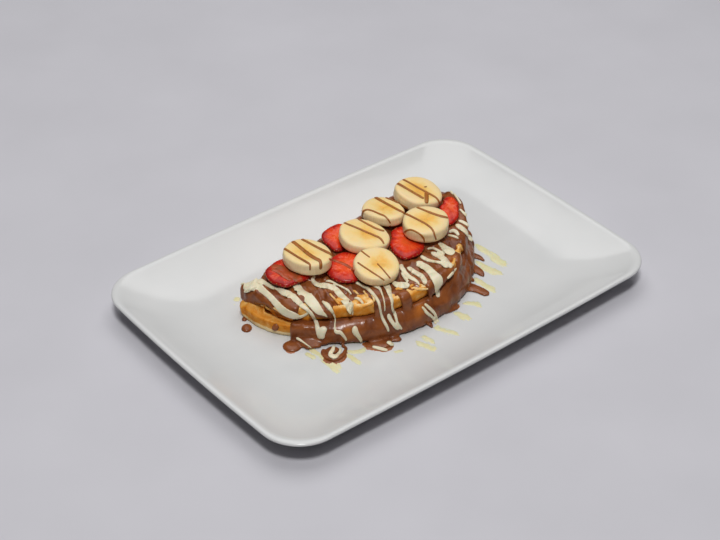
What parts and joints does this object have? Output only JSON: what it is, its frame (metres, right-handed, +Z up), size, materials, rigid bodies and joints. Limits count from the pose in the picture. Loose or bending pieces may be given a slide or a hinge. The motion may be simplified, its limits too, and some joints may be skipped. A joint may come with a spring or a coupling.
{
  "type": "plate of waffle with fruit",
  "caption": "Round waffle folded over a chocolate filling, coated and drizzled with dark and white chocolate, topped with banana and strawberry slices, on a rectangular white plate.",
  "frame": {"origin": "middle of the plate, on the surface that it stands on", "axes": "+X along the plate's long side, +Y across it towards the waffle's fold, +Z up"},
  "size_m": [0.33, 0.227, 0.0484],
  "materials": {
    "glaze": "gloss",
    "waffle": "matte",
    "chocolate": "gloss",
    "banana": "satin",
    "strawberry": "gloss"
  },
  "bodies": {
    "root": {"plate": "glaze", "waffle": "waffle", "chocolate_filling": "chocolate", "banana_slice_1": "banana", "banana_slice_2": "banana", "banana_slice_3": "banana", "banana_slice_4": "banana", "banana_slice_5": "banana", "banana_slice_6": "banana", "strawberry_slice_1": "strawberry", "strawberry_slice_2": "strawberry", "strawberry_slice_3": "strawberry", "strawberry_slice_4": "strawberry", "strawberry_slice_5": "strawberry"}
  },
  "joints": []
}
